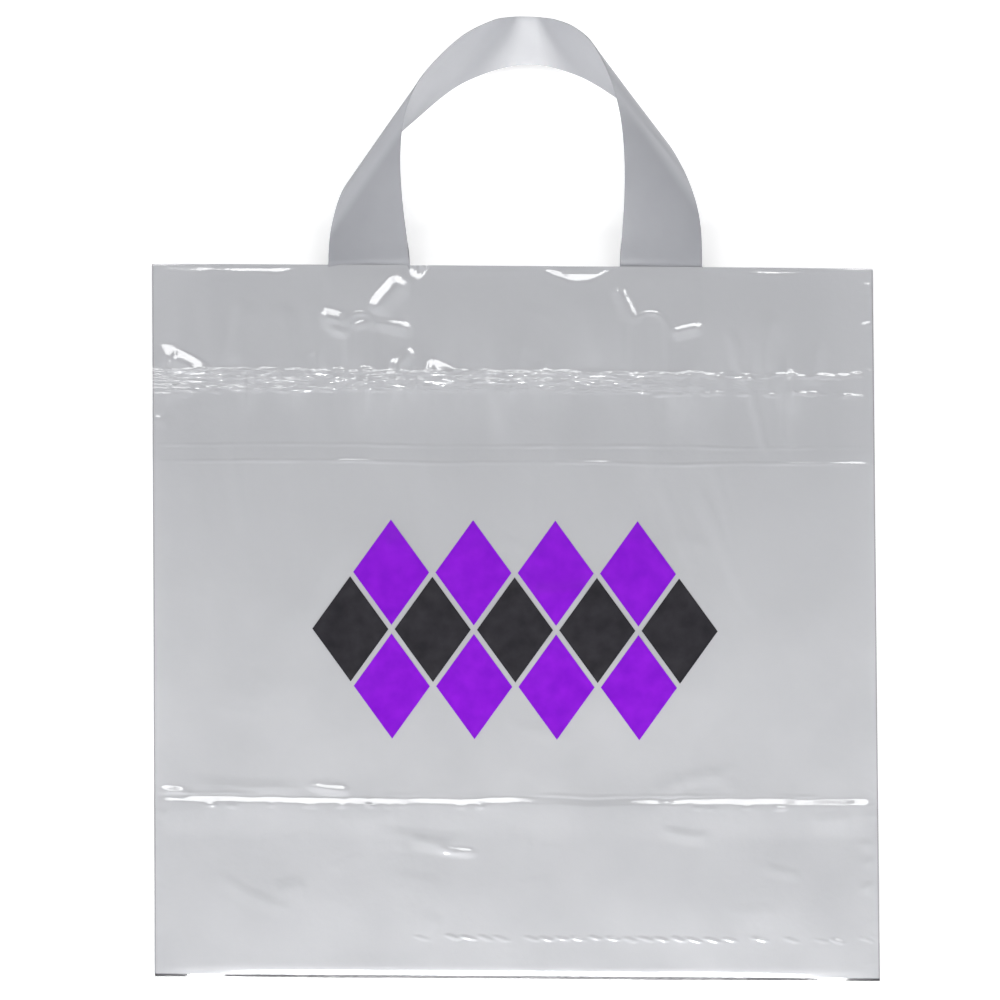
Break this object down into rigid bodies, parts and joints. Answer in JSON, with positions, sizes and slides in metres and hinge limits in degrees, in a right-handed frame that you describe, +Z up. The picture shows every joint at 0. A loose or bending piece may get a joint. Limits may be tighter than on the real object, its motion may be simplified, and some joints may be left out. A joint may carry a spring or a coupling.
{
  "type": "plastic carrier bag",
  "caption": "Clear film carrier bag lying flat, with a turned-in hem at the mouth, a crimped seal band, a folded bottom gusset and soft loop handles for carrying.",
  "frame": {"origin": "on the table, under the middle of the bag and its handles", "axes": "+X across the bag, +Y from the gusset to the handles, +Z up from the table, out of the front panel"},
  "size_m": [0.305, 0.4058, 0.0374],
  "materials": {
    "bag_film": "clear pale grey film, glossy, softly wrinkled",
    "handle_film": "clear grey film in several layers, glossy"
  },
  "bodies": {
    "root": {"bag_body": "bag_film", "front_handle": "handle_film", "rear_handle": "handle_film"}
  },
  "joints": []
}
